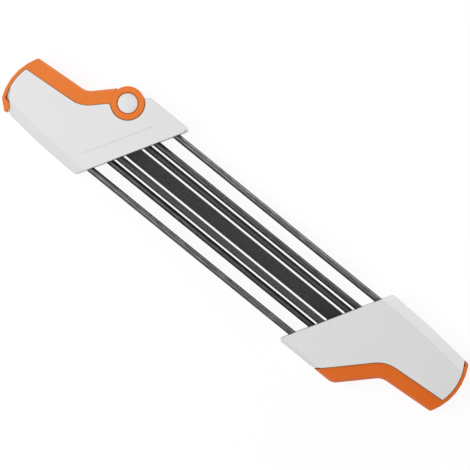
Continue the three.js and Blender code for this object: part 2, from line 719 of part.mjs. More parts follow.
// The lever: a channel that ends at the hub, with a ring above and below the hub and the catch
function clampLever() {
  const far = overallLength;
  const through = [-cutOverrun, bodyThickness + cutOverrun];
  const betweenLegs = [middle - legUnderside, middle + legUnderside];
  const bossRadius = hubRadius - hubBossInset;
  const sector = [besideHub(0, far), besideHub(0, -far), besideHub(-far, -far), besideHub(-far, far)];
  const arm = cut(
    channel(leverDiagonalBand, false, { belly: endRound - cutOverrun }),
    prism(sector.reverse(), ...through),
    upright(pivot.x, pivot.y, bossRadius + hubWebGap, ...betweenLegs, hubSteps),
    upright(pivot.x, pivot.y, bossRadius, ...through, hubSteps),
  );
  const fillets = [1, -1].map((side) =>
    prism(filletOutline(0), ...halfSpan(side, legUnderside, middle - channelStep)));
  return cut(join(arm, hubRing(1), hubRing(-1), ...fillets, catchSolid()), catchCorners());
}

// A domed cap whose square key turns the shaft with the lever
function hubCap(side) {
  const rim = middle - capThickness - capDome;
  const dome = Array.from({ length: bendSteps + 1 }, (_, k) => {
    const share = 1 - k / bendSteps;
    return [capRadius * share, middle - capDome * share * share];
  });
  const profile = [[0, rim + seatClearance], [capRadius, rim + seatClearance], ...dome];
  const disc = solid(new THREE.LatheGeometry(profile.map(([r, z]) => new THREE.Vector2(r, z)), hubSteps)
    .rotateX(Math.PI / 2));
  const half = keySize / 2;
  const made = join(disc, block(-half, half, -half, half, tongueHeight - keyDepth, rim + capThickness));
  return (side > 0 ? made : made.rotate([180, 0, 0])).translate([pivot.x, pivot.y, middle]);
}

function hubShaft() {
  const offset = throwAt(0);
  const keyHalf = keySize / 2 + seatClearance;
  const end = tongueHeight - seatClearance;
  const socket = (low, high) => block(pivot.x - keyHalf, pivot.x + keyHalf,
    pivot.y - keyHalf, pivot.y + keyHalf, middle + low, middle + high);
  return cut(
    join(
      upright(pivot.x, pivot.y, journalRadius, middle - end, middle + end, hubSteps),
      upright(pivot.x + offset.x, pivot.y + offset.y, eccentricRadius, middle - eccentricThickness / 2,
        middle + eccentricThickness / 2, hubSteps),
    ),
    socket(tongueHeight - keyDepth - seatClearance, tongueHeight + cutOverrun),
    socket(-tongueHeight - cutOverrun, keyDepth + seatClearance - tongueHeight),
  );
}

// The clamp: a strap round the eccentric, a stem, and a block that the files pass through. The block's
// holes are longer on one side, so that it can be lifted off the files.
function clampYoke() {
  const offset = throwAt(0);
  const [x0, x1] = clampSpan;
  const strapRadius = eccentricRadius + seatClearance + strapWall;
  const heights = (height) => [middle - height / 2, middle + height / 2];
  const strapAt = new THREE.Vector2(pivot.x + offset.x, pivot.y + offset.y);
  const clampTop = filesHalfWidth + clampWall;
  const clampHeight = 2 * (fileDrop + fileRadius + clampSkin);
  const stem = [pivot.x - stemWidth / 2, pivot.x + stemWidth / 2];
  const made = join(
    block(x0, x1, -filesHalfWidth, clampTop, ...heights(clampHeight)),
    block(...stem, 0, strapAt.y, ...heights(strapHeight)),
    upright(strapAt.x, strapAt.y, strapRadius, ...heights(strapHeight), hubSteps),
  );
  const furthest = throwAt(leverSwing / 2).x;
  const holes = [offset.x, furthest].map((x) =>
    upright(pivot.x + x, strapAt.y, eccentricRadius + seatClearance, 0, bodyThickness, hubSteps));
  const lifts = [0, -clampTravel / 2, -clampTravel];
  const lifted = lifts.flatMap((y) => fileCutters().map((file) => file.translate([0, y, 0])));
  return cut(made, ...holes, ...lifted);
}

// A block that the files lie in, open along the outer sides of the round ones
function fileBlock([x0, x1]) {
  const half = filesHalfWidth - anvilOpenSide;
  const low = shellWall + seatClearance;
  return cut(block(x0, x1, -half, half, low, bodyThickness - low), ...fileCutters());
}

const group = new THREE.Group();
group.name = 'chainsaw_file_guide';
function add(name, made, material) {
  const mesh = new THREE.Mesh(geometryOf(made), material);
  mesh.name = name;
  group.add(mesh);
}

const halfRound = (made) => made.rotate([0, 0, 180]);
const clampRibs = [ribBefore(clampSpan[0]), ribAfter(clampSpan[1]), ribAfter(anvilSpan[1])];
const socketRibs = [ribBefore(-socketSpan[1]), ribAfter(-socketSpan[0])];
const clampShell = { diagonalBand: leverDiagonalBand, hub: true, ribPlaces: clampRibs };
const fixedShell = { diagonalBand: coverDiagonalBand, hub: false, ribPlaces: socketRibs };
add('clamp_head_upper_shell', cut(shellHalf(1, clampShell), ...seatCutters()), materials.white);
add('clamp_head_lower_shell', cut(shellHalf(-1, clampShell), ...seatCutters()), materials.white);
add('clamp_lever', clampLever(), materials.orange);
add('hub_cap_upper', hubCap(1), materials.white);
add('hub_cap_lower', hubCap(-1), materials.white);
add('hub_shaft', hubShaft(), materials.inner);
add('clamp_yoke', clampYoke(), materials.inner);
add('file_anvil', fileBlock(anvilSpan), materials.inner);
add('fixed_head_upper_shell', cut(halfRound(shellHalf(1, fixedShell)), ...seatCutters()), materials.white);
add('fixed_head_lower_shell', cut(halfRound(shellHalf(-1, fixedShell)), ...seatCutters()), materials.white);
add('grip_cover', halfRound(channel(coverDiagonalBand, true)), materials.orange);
add('file_socket', fileBlock(socketSpan), materials.inner);
for (const rod of rods) add(rod.name, rodSolid(rod), materials.rod);
for (const file of roundFiles) add(file.name, turnedBar(roundFileProfile, file.y, file.z), materials.file);
add('flat_file', flatFileSolid(), materials.file);
screwPlaces.forEach(([x, y], i) => {
  add(`clamp_head_screw_${i + 1}`, screw(x, y), materials.screw);
  add(`fixed_head_screw_${i + 1}`, screw(-x, -y), materials.screw);
});

export default group;
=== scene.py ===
# Looks of a hand-held chainsaw file guide: two white moulded heads with orange grips, four steel
# rods between them, and two round files and one flat file clamped in the middle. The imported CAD
# model is the fixed frame. Every piece sits on it, in metres, and rides on one of its bodies.
import math

import bmesh
import bpy
from mathutils import Matrix, Vector


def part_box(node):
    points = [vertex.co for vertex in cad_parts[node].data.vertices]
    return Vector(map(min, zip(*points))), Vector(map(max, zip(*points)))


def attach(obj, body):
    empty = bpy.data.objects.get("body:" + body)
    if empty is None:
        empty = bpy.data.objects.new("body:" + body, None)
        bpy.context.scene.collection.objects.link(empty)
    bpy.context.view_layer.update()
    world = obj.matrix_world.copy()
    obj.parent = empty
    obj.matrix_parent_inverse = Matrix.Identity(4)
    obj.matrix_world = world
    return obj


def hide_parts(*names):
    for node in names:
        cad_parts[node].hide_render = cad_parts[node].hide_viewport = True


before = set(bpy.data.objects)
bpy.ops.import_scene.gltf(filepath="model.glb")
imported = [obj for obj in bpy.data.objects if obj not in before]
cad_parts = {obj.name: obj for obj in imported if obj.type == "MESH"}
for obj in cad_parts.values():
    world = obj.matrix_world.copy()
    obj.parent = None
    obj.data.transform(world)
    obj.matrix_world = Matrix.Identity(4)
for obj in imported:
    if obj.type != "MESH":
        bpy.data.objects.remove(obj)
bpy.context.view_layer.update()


# Steel rods: four drawn bars of free-cutting steel, the outer two bright and the two guide rails in
# the same steel made darker. A lathe chamfers their ends and turns a neck near each end, by which
# the shells' ribs hold them, so that the rods tie the two heads together.
MM = 0.001
ROD_CHAMFER = 0.6 * MM
ROD_NECK_DEPTH = 0.65 * MM
ROD_NECK_LENGTH = 2.4 * MM
ROD_NECK_FROM_END = 3.5 * MM
ROD_FACES = 48
TURNED_SHARP_ANGLE = math.radians(30)
DRAWN_LINE_WIDTH = 0.6 * MM
DRAWN_LINE_LENGTH = 7 * MM
DRAWN_LINE_DEPTH = 0.012 * MM
GREYED_PATCH = 60 * MM


def linear(hex_colour):
    """An sRGB hex value as the linear colour that shaders take."""
    channels = [int(hex_colour[i:i + 2], 16) / 255 for i in (1, 3, 5)]
    return [c / 12.92 if c <= 0.04045 else ((c + 0.055) / 1.055) ** 2.4 for c in channels] + [1]


def add_node(tree, kind, settings=None, inputs=None):
    """Adds a node with its settings. An input given a socket is linked, and any other is set."""
    made = tree.nodes.new(kind)
    for name, value in (settings or {}).items():
        setattr(made, name, value)
    for name, value in (inputs or {}).items():
        if isinstance(value, bpy.types.NodeSocket):
            tree.links.new(value, made.inputs[name])
        else:
            made.inputs[name].default_value = value
    return made


def new_material(name):
    """An empty node material, and its output's surface socket."""
    material = bpy.data.materials.new(name)
    material.use_nodes = True
    material.node_tree.nodes.clear()
    output = add_node(material.node_tree, "ShaderNodeOutputMaterial")
    return material, material.node_tree, output.inputs["Surface"]


def new_piece(name, mesh, material):
    """A finished mesh as a piece of the object, with its material."""
    piece = bpy.data.objects.new(name, mesh)
    bpy.context.scene.collection.objects.link(piece)
    mesh.materials.clear()
    mesh.materials.append(material)
    return piece


def turned_mesh(name, profile, faces, y=0, z=0):
    """A solid turned about the X axis from its places and radii, then moved to its y and z."""
    work = bmesh.new()
    rings = []
    for x, radius in profile:
        turns = [math.tau * i / faces for i in range(faces)] if radius else [0]
        ring = [work.verts.new((x, y + radius * math.cos(turn), z + radius * math.sin(turn)))
                for turn in turns]
        rings.append(ring if radius else ring * faces)
    for ring, after in zip(rings, rings[1:]):
        for i in range(faces):
            corners = dict.fromkeys([ring[i - 1], ring[i], after[i], after[i - 1]])
            work.faces.new(list(corners))
    bmesh.ops.recalc_face_normals(work, faces=work.faces)
    mesh = bpy.data.meshes.new(name)
    work.to_mesh(mesh)
    work.free()
    mesh.shade_smooth()
    mesh.set_sharp_from_angle(angle=TURNED_SHARP_ANGLE)
    return mesh


def node_span(node):
    """A bar's two ends along X, the middle of its section, and its radius."""
    low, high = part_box(node)
    return low.x, high.x, (low.y + high.y) / 2, (low.z + high.z) / 2, (high.z - low.z) / 2


# Drawn steel: the die leaves streaks along the bar that break up its highlight, and handling greys
# it in patches. The tint keeps the flanks dark, as a thin film of oil does. Real die lines are a
# few hundredths of a millimetre wide, too fine to show here, so they are drawn 0.6 mm wide.
rod_finishes = {}
# The guide rails take a darker copy of the bright steel's colours; all else is the same.
for use, finish, dark, light in (("outer_rod", "drawn_bright_steel", "#393938", "#787777"),
                                 ("guide_rail", "oiled_drawn_steel", "#303030", "#595858")):
    rod_finishes[use], tree, surface = new_material(finish)
    place = add_node(tree, "ShaderNodeTexCoord").outputs["Object"]
    along = add_node(tree, "ShaderNodeMapping", inputs={
        "Vector": place,
        "Scale": (1 / DRAWN_LINE_LENGTH, 1 / DRAWN_LINE_WIDTH, 1 / DRAWN_LINE_WIDTH)})
    lines = add_node(tree, "ShaderNodeTexNoise", inputs={
        "Vector": along.outputs["Vector"], "Scale": 1, "Detail": 3, "Roughness": 0.6})
    line_share = add_node(tree, "ShaderNodeMapRange", inputs={
        "Value": lines.outputs["Fac"], "From Min": 0.3, "From Max": 0.7})
    patches = add_node(tree, "ShaderNodeTexNoise", inputs={
        "Vector": place, "Scale": 1 / GREYED_PATCH, "Detail": 2})
    line_colour = add_node(tree, "ShaderNodeMix", {"data_type": "RGBA"}, {
        "Factor": line_share.outputs["Result"], "A": linear(dark), "B": linear(light)})
    greyed = add_node(tree, "ShaderNodeMix", {"data_type": "RGBA", "blend_type": "MULTIPLY"}, {
        "Factor": patches.outputs["Fac"], "A": line_colour.outputs["Result"],
        "B": linear("#DCDBDA")})
    line_gloss = add_node(tree, "ShaderNodeMapRange", inputs={
        "Value": lines.outputs["Fac"], "To Min": 0.3, "To Max": 0.42})
    line_bump = add_node(tree, "ShaderNodeBump", inputs={
        "Height": lines.outputs["Fac"], "Strength": 0.5, "Distance": DRAWN_LINE_DEPTH})
    bar_shader = add_node(tree, "ShaderNodeBsdfPrincipled", inputs={
        "Base Color": greyed.outputs["Result"], "Metallic": 1, "Specular Tint": linear("#8C8B8A"),
        "Roughness": line_gloss.outputs["Result"], "Normal": line_bump.outputs["Normal"]})
    tree.links.new(bar_shader.outputs["BSDF"], surface)

for rod_node in ("outer_rod_rear", "guide_rail_rear", "outer_rod_front", "guide_rail_front"):
    start, end, rod_y, rod_z, radius = node_span(rod_node)
    neck_from = ROD_NECK_FROM_END
    neck_to = ROD_NECK_FROM_END + ROD_NECK_LENGTH
    neck = radius - ROD_NECK_DEPTH
    half_profile = [(0, 0), (0, radius - ROD_CHAMFER), (ROD_CHAMFER, radius), (neck_from, radius),
                    (neck_from, neck), (neck_to, neck), (neck_to, radius)]
    profile = [(start + x, size) for x, size in half_profile]
    profile += [(end - x, size) for x, size in reversed(half_profile)]
    bar = turned_mesh(rod_node + "_bar", profile, ROD_FACES, rod_y, rod_z)
    rod = new_piece(rod_node + "_bar", bar, rod_finishes[rod_node.rsplit("_", 1)[0]])
    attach(rod, "guide")
    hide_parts(rod_node)


# Files: hardened high-carbon steel, held by the clamp and the socket. The teeth of the two round
# ones are cut as a steep spiral of several starts. The flat one, for the depth gauges, has
# single-cut teeth slanted over both faces. The teeth are a little coarser than real, to show.
TANG_LENGTH = 8 * MM
TANG_RADIUS = 1.3 * MM
SHOULDER_LENGTH = 1.5 * MM
NOSE_CHAMFER = 0.6 * MM
SPIRAL_PITCH = 0.5 * MM
SPIRAL_DEPTH = 0.13 * MM
SPIRAL_STARTS = 8
SPIRAL_FACES = 20
RIDGE_SIDES = 4
FILE_FACES = 32
SCALE_FLECK = 1.1 * MM
SCALE_DEPTH = 0.01 * MM


def node_tree(name, sockets):
    """A Geometry Nodes tree with inputs of the given names and types, and its two end nodes."""
    made = bpy.data.node_groups.new(name, "GeometryNodeTree")
    made.interface.new_socket("Geometry", in_out="INPUT", socket_type="NodeSocketGeometry")
    for socket, kind in sockets.items():
        made.interface.new_socket(socket, in_out="INPUT", socket_type=kind)
    made.interface.new_socket("Geometry", in_out="OUTPUT", socket_type="NodeSocketGeometry")
    return made, add_node(made, "NodeGroupInput").outputs, add_node(made, "NodeGroupOutput").inputs


def end_tree(made, geometry, material, out):
    """Closes a tree: instances are made real, and everything gets the material."""
    real = add_node(made, "GeometryNodeRealizeInstances", inputs={"Geometry": geometry})
    painted = add_node(made, "GeometryNodeSetMaterial", inputs={
        "Geometry": real.outputs["Geometry"], "Material": material})
    made.links.new(painted.outputs["Geometry"], out["Geometry"])


def grown_mesh(mesh, made, values):
    """The plain mesh that a tree makes from a starting mesh, with the tree's inputs set by name."""
    seed = bpy.data.objects.new("seed", mesh)
    bpy.context.scene.collection.objects.link(seed)
    modifier = seed.modifiers.new(made.name, "NODES")
    modifier.node_group = made
    for item in made.interface.items_tree:
        if item.in_out == "INPUT" and item.name in values:
            modifier[item.identifier] = values[item.name]
    evaluated = seed.evaluated_get(bpy.context.evaluated_depsgraph_get())
    grown = bpy.data.meshes.new_from_object(evaluated)
    bpy.data.objects.remove(seed)
    return grown


def joined(name, *meshes):
    """Several meshes as one."""
    work = bmesh.new()
    for mesh in meshes:
        work.from_mesh(mesh)
    whole = bpy.data.meshes.new(name)
    work.to_mesh(whole)
    work.free()
    return whole


# Hardened file steel: the salt bath leaves it a dull dark grey with faint flecks, a little rough,
# and with no clear highlight from any side.
file_steel, tree, surface = new_material("hardened_file_steel")
place = add_node(tree, "ShaderNodeTexCoord").outputs["Object"]
flecks = add_node(tree, "ShaderNodeTexNoise", inputs={
    "Vector": place, "Scale": 1 / SCALE_FLECK, "Detail": 3, "Roughness": 0.7})
fleck_colour = add_node(tree, "ShaderNodeMix", {"data_type": "RGBA"}, {
    "Factor": flecks.outputs["Fac"], "A": linear("#333232"), "B": linear("#646363")})
fleck_gloss = add_node(tree, "ShaderNodeMapRange", inputs={
    "Value": flecks.outputs["Fac"], "To Min": 0.5, "To Max": 0.64})
fleck_bump = add_node(tree, "ShaderNodeBump", inputs={
    "Height": flecks.outputs["Fac"], "Strength": 0.4, "Distance": SCALE_DEPTH})
file_shader = add_node(tree, "ShaderNodeBsdfPrincipled", inputs={
    "Base Color": fleck_colour.outputs["Result"], "Metallic": 1, "Specular Tint": linear("#3C3C3C"),
    "Roughness": fleck_gloss.outputs["Result"], "Normal": fleck_bump.outputs["Normal"]})
tree.links.new(file_shader.outputs["BSDF"], surface)

# Spiral teeth: one helix, repeated round the axis for each start and swept with a four-sided ridge.
spiral_tree, given, out = node_tree("spiral_teeth", {
    "Length": "NodeSocketFloat", "Radius": "NodeSocketFloat", "Ridge": "NodeSocketFloat",
    "Turns": "NodeSocketFloat", "Starts": "NodeSocketInt"})
helix = add_node(spiral_tree, "GeometryNodeCurveSpiral", inputs={
    "Resolution": SPIRAL_FACES, "Rotations": given["Turns"], "Start Radius": given["Radius"],
    "End Radius": given["Radius"], "Height": given["Length"]})
starts = add_node(spiral_tree, "GeometryNodeMeshLine", inputs={
    "Count": given["Starts"], "Offset": (0, 0, 0)})
part_turn = add_node(spiral_tree, "ShaderNodeMath", {"operation": "DIVIDE"}, {
    0: math.tau, 1: given["Starts"]})
start_number = add_node(spiral_tree, "GeometryNodeInputIndex").outputs["Index"]
start_turn = add_node(spiral_tree, "ShaderNodeMath", {"operation": "MULTIPLY"}, {
    0: start_number, 1: part_turn.outputs["Value"]})
start_angle = add_node(spiral_tree, "ShaderNodeCombineXYZ", inputs={
    "Z": start_turn.outputs["Value"]})
every_start = add_node(spiral_tree, "GeometryNodeInstanceOnPoints", inputs={
    "Points": starts.outputs["Mesh"], "Instance": helix.outputs["Curve"],
    "Rotation": start_angle.outputs["Vector"]})
real_curves = add_node(spiral_tree, "GeometryNodeRealizeInstances", inputs={
    "Geometry": every_start.outputs["Instances"]})
upright = add_node(spiral_tree, "GeometryNodeSetCurveNormal", {"mode": "Z_UP"}, {
    "Curve": real_curves.outputs["Geometry"]})
ridge = add_node(spiral_tree, "GeometryNodeCurvePrimitiveCircle", inputs={
    "Resolution": RIDGE_SIDES, "Radius": given["Ridge"]})
swept = add_node(spiral_tree, "GeometryNodeCurveToMesh", inputs={
    "Curve": upright.outputs["Curve"], "Profile Curve": ridge.outputs["Curve"], "Fill Caps": True})
end_tree(spiral_tree, swept.outputs["Mesh"], file_steel, out)

for file_node in ("round_file_rear", "round_file_front"):
    start, end, file_y, file_z, radius = node_span(file_node)
    shank = start + TANG_LENGTH
    root = radius - SPIRAL_DEPTH
    profile = [(start, 0), (start, TANG_RADIUS / 2), (shank - SHOULDER_LENGTH, TANG_RADIUS),
               (shank, root), (end - NOSE_CHAMFER, root), (end, root - NOSE_CHAMFER), (end, 0)]
    core = turned_mesh("core", profile, FILE_FACES, file_y, file_z)
    toothed = end - shank - 2 * SHOULDER_LENGTH
    teeth = grown_mesh(bpy.data.meshes.new("axis"), spiral_tree, {
        "Length": toothed, "Radius": root, "Ridge": SPIRAL_DEPTH,
        "Turns": toothed / (SPIRAL_STARTS * SPIRAL_PITCH), "Starts": SPIRAL_STARTS})
    teeth.transform(Matrix.Translation((shank + SHOULDER_LENGTH, file_y, file_z))
                    @ Matrix.Rotation(math.pi / 2, 4, "Y"))
    round_file = new_piece(file_node + "_toothed", joined(file_node + "_toothed", core, teeth),
                           file_steel)
    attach(round_file, "guide")
    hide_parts(file_node)

# Slanted teeth: one wedge, set in a row on the upper face and again, turned over, on the lower one.
FLAT_PITCH = 0.9 * MM
FLAT_DEPTH = 0.3 * MM
FLAT_ROOT_SINK = 0.1 * MM
FLAT_SLANT = math.radians(25)
FLAT_CREST = 0.3 * MM
FLAT_SAFE_EDGE = 0.05 * MM
FLAT_BARE_TEETH = 2

row_tree, given, out = node_tree("slanted_teeth", {
    "Count": "NodeSocketInt", "Pitch": "NodeSocketFloat", "Start": "NodeSocketFloat"})
step = add_node(row_tree, "ShaderNodeCombineXYZ", inputs={"X": given["Pitch"]})
first = add_node(row_tree, "ShaderNodeCombineXYZ", inputs={"X": given["Start"]})
row = add_node(row_tree, "GeometryNodeMeshLine", inputs={
    "Count": given["Count"], "Start Location": first.outputs["Vector"],
    "Offset": step.outputs["Vector"]})
upper_row = add_node(row_tree, "GeometryNodeInstanceOnPoints", inputs={
    "Points": row.outputs["Mesh"], "Instance": given["Geometry"]})
lower_row = add_node(row_tree, "GeometryNodeTransform", inputs={
    "Geometry": upper_row.outputs["Instances"], "Rotation": (math.pi, 0, 0)})
both_rows = add_node(row_tree, "GeometryNodeJoinGeometry", inputs={
    "Geometry": upper_row.outputs["Instances"]})
row_tree.links.new(lower_row.outputs["Geometry"], both_rows.inputs["Geometry"])
end_tree(row_tree, both_rows.outputs["Geometry"], file_steel, out)

low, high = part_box("flat_file")
flat_middle = (low + high) / 2
flat_half_width = (high.y - low.y) / 2 - FLAT_SAFE_EDGE
flat_half_thick = (high.z - low.z) / 2
slant = math.tan(FLAT_SLANT) * flat_half_width
tooth_root = flat_half_thick - FLAT_DEPTH
tooth_base = tooth_root - FLAT_ROOT_SINK
section = [(0, tooth_base), (FLAT_PITCH, tooth_base), (FLAT_PITCH, tooth_root),
           (FLAT_CREST, flat_half_thick), (0, tooth_root)]
work = bmesh.new()
wedge_ends = [[work.verts.new((x + side * slant, side * flat_half_width, z)) for x, z in section]
              for side in (-1, 1)]
near, far = wedge_ends
for i in range(len(section)):
    work.faces.new([near[i - 1], near[i], far[i], far[i - 1]])
for end_verts in wedge_ends:
    work.faces.new(end_verts)
bmesh.ops.recalc_face_normals(work, faces=work.faces)
wedge = bpy.data.meshes.new("wedge")
work.to_mesh(wedge)
work.free()
shank = low.x + TANG_LENGTH
teeth = grown_mesh(wedge, row_tree, {
    "Count": int((high.x - shank - 2 * slant) / FLAT_PITCH) - FLAT_BARE_TEETH, "Pitch": FLAT_PITCH,
    "Start": shank + slant + FLAT_PITCH - flat_middle.x})
teeth.transform(Matrix.Translation(flat_middle))
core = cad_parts["flat_file"].data.copy()
thinner = Matrix.Diagonal((1, 1, tooth_root / flat_half_thick, 1))
core.transform(Matrix.Translation(flat_middle) @ thinner @ Matrix.Translation(-flat_middle))
flat_file = new_piece("flat_file_toothed", joined("flat_file_toothed", core, teeth), file_steel)
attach(flat_file, "guide")
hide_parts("flat_file")


# Inner parts, which keep their CAD shapes: the hub shaft and the clamp yoke are machined steel, and
# the anvil and the socket, in which the files lie, are moulded in dark glass-filled nylon. The
# shells' ribs hold the blocks, and the hub caps' keys turn the shaft.
TOOL_MARK_WIDTH = 0.25 * MM
TOOL_MARK_LENGTH = 7 * MM
TOOL_MARK_DEPTH = 0.008 * MM
FIBRE_LENGTH = 2.5 * MM
FIBRE_WIDTH = 0.4 * MM
FIBRE_DEPTH = 0.01 * MM

# Machined steel: bright, with fine level marks of the tool that draw a highlight out sideways.
machined_steel, tree, surface = new_material("machined_steel")
place = add_node(tree, "ShaderNodeTexCoord").outputs["Object"]
level = add_node(tree, "ShaderNodeMapping", inputs={
    "Vector": place,
    "Scale": (1 / TOOL_MARK_LENGTH, 1 / TOOL_MARK_LENGTH, 1 / TOOL_MARK_WIDTH)})
marks = add_node(tree, "ShaderNodeTexNoise", inputs={
    "Vector": level.outputs["Vector"], "Scale": 1, "Detail": 2})
mark_colour = add_node(tree, "ShaderNodeMix", {"data_type": "RGBA"}, {
    "Factor": marks.outputs["Fac"], "A": linear("#8E8D8B"), "B": linear("#B9B8B5")})
mark_gloss = add_node(tree, "ShaderNodeMapRange", inputs={
    "Value": marks.outputs["Fac"], "To Min": 0.28, "To Max": 0.4})
mark_bump = add_node(tree, "ShaderNodeBump", inputs={
    "Height": marks.outputs["Fac"], "Strength": 0.6, "Distance": TOOL_MARK_DEPTH})
machined_shader = add_node(tree, "ShaderNodeBsdfPrincipled", inputs={
    "Base Color": mark_colour.outputs["Result"], "Metallic": 1,
    "Roughness": mark_gloss.outputs["Result"], "Normal": mark_bump.outputs["Normal"]})
tree.links.new(machined_shader.outputs["BSDF"], surface)

# Glass-filled nylon: near black, with paler short fibres that lie along the flow of the melt. Real
# fibres are about 0.01 mm thick, too fine to show, so they are drawn as bundles 0.4 mm wide.
dark_nylon, tree, surface = new_material("glass_filled_dark_nylon")
place = add_node(tree, "ShaderNodeTexCoord").outputs["Object"]
flow = add_node(tree, "ShaderNodeMapping", inputs={
    "Vector": place, "Scale": (1 / FIBRE_WIDTH, 1 / FIBRE_LENGTH, 1 / FIBRE_WIDTH)})
fibres = add_node(tree, "ShaderNodeTexNoise", inputs={
    "Vector": flow.outputs["Vector"], "Scale": 1, "Detail": 3, "Roughness": 0.7})
fibre_colour = add_node(tree, "ShaderNodeMix", {"data_type": "RGBA"}, {
    "Factor": fibres.outputs["Fac"], "A": linear("#2C2D2F"), "B": linear("#55565A")})
fibre_gloss = add_node(tree, "ShaderNodeMapRange", inputs={
    "Value": fibres.outputs["Fac"], "To Min": 0.42, "To Max": 0.6})
fibre_bump = add_node(tree, "ShaderNodeBump", inputs={
    "Height": fibres.outputs["Fac"], "Strength": 0.5, "Distance": FIBRE_DEPTH})
inner_shader = add_node(tree, "ShaderNodeBsdfPrincipled", inputs={
    "Base Color": fibre_colour.outputs["Result"], "Roughness": fibre_gloss.outputs["Result"],
    "IOR": 1.53, "Normal": fibre_bump.outputs["Normal"]})
tree.links.new(inner_shader.outputs["BSDF"], surface)

for inner_node, finish in (("hub_shaft", machined_steel), ("clamp_yoke", machined_steel),
                           ("file_anvil", dark_nylon), ("file_socket", dark_nylon)):
    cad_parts[inner_node].material_slots[0].material = finish


# Shells of the heads: pairs of injection-moulded white ABS halves that meet at mid height, round
# the rods, the files and the inner parts. The screws draw each pair together.
EDGE_BREAK = 0.15 * MM
EDGE_STEPS = 2
EDGE_ROOM_SHARE = 0.4
MERGE_DISTANCE = 0.02 * MM
FLAT_ANGLE = math.radians(0.3)
CREASE_ANGLE = math.radians(20)
SHARP_ANGLE = math.radians(35)
SHELL_GRAIN = 0.45 * MM
SHELL_GRAIN_DEPTH = 0.006 * MM
SHELL_CLOUD = 45 * MM


def moulded_skin(node, name):
    """A CAD solid as one clean skin, with creases marked and a weight for each edge's break."""
    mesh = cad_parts[node].data.copy()
    mesh.name = name
    work = bmesh.new()
    work.from_mesh(mesh)
    bmesh.ops.remove_doubles(work, verts=work.verts, dist=MERGE_DISTANCE)
    bmesh.ops.dissolve_degenerate(work, dist=MERGE_DISTANCE, edges=work.edges)
    bmesh.ops.dissolve_limit(work, angle_limit=FLAT_ANGLE, verts=work.verts, edges=work.edges)
    bmesh.ops.triangulate(work, faces=work.faces)
    bmesh.ops.recalc_face_normals(work, faces=work.faces)
    weight = work.edges.layers.float.new("bevel_weight_edge")
    for edge in work.edges:
        turn = edge.calc_face_angle(0)
        level = any(abs(face.normal.z) > math.cos(FLAT_ANGLE) for face in edge.link_faces)
        edge.smooth = turn < (CREASE_ANGLE if level else SHARP_ANGLE)
        if turn > SHARP_ANGLE:
            room = min(2 * face.calc_area() / edge.calc_length() for face in edge.link_faces)
            edge[weight] = min(1, EDGE_ROOM_SHARE * room / EDGE_BREAK)
    for face in work.faces:
        face.smooth = True
    work.to_mesh(mesh)
    work.free()
    return mesh


def break_edges(piece):
    """Rounds the sharp edges a little, as a mould does, and keeps the flats flat in the light."""
    bevel = piece.modifiers.new("edge_break", "BEVEL")
    bevel.width = EDGE_BREAK
    bevel.segments = EDGE_STEPS
    bevel.limit_method = "WEIGHT"
    bevel.use_clamp_overlap = False
    flats = piece.modifiers.new("flat_faces", "WEIGHTED_NORMAL")
    flats.keep_sharp = True


# ABS from a blasted mould: a satin white with soft highlights, hardly clouded in tone and gloss.
# The real grain is about 0.1 mm across, too fine to show, so it is drawn at 0.45 mm.
white_abs, tree, surface = new_material("satin_white_abs")
place = add_node(tree, "ShaderNodeTexCoord").outputs["Object"]
grain = add_node(tree, "ShaderNodeTexNoise", inputs={
    "Vector": place, "Scale": 1 / SHELL_GRAIN, "Detail": 2, "Roughness": 0.6})
cloud = add_node(tree, "ShaderNodeTexNoise", inputs={
    "Vector": place, "Scale": 1 / SHELL_CLOUD, "Detail": 2})
cloud_colour = add_node(tree, "ShaderNodeMix", {"data_type": "RGBA"}, {
    "Factor": cloud.outputs["Fac"], "A": linear("#D8D7D7"), "B": linear("#DEDCDC")})
cloud_gloss = add_node(tree, "ShaderNodeMapRange", inputs={
    "Value": cloud.outputs["Fac"], "To Min": 0.38, "To Max": 0.5})
grain_bump = add_node(tree, "ShaderNodeBump", inputs={
    "Height": grain.outputs["Fac"], "Strength": 0.35, "Distance": SHELL_GRAIN_DEPTH})
shell_shader = add_node(tree, "ShaderNodeBsdfPrincipled", inputs={
    "Base Color": cloud_colour.outputs["Result"], "Roughness": cloud_gloss.outputs["Result"],
    "IOR": 1.54, "Normal": grain_bump.outputs["Normal"]})
tree.links.new(shell_shader.outputs["BSDF"], surface)

for shell_node in ("clamp_head_upper_shell", "clamp_head_lower_shell", "fixed_head_upper_shell",
                   "fixed_head_lower_shell"):
    skin = moulded_skin(shell_node, shell_node + "_skin")
    shell = new_piece(shell_node + "_skin", skin, white_abs)
    break_edges(shell)
    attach(shell, "guide")
    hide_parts(shell_node)


# Screws: six self-tapping screws of zinc-plated steel, three to a head, with flat heads, a hexagon
# socket and a coarse thread. They are driven up from the underside into the upper shells' bosses.
SCREW_FACES = 24
SCREW_HEAD_RADIUS = 2.7 * MM
SCREW_HEAD_HEIGHT = 2 * MM
SCREW_HEAD_EDGE = 0.35 * MM
SCREW_SHANK_RADIUS = 1.05 * MM
SCREW_THREAD = 0.25 * MM
SCREW_PITCH = 1.2 * MM
SCREW_TIP = 1.3 * MM
SCREW_PLAIN_LENGTH = 4 * MM
SOCKET_APOTHEM = 1.25 * MM
SOCKET_DEPTH = 1.2 * MM
SOCKET_EDGE = 0.15 * MM
PLATING_CLOUD = 1.6 * MM
PLATING_DEPTH = 0.004 * MM

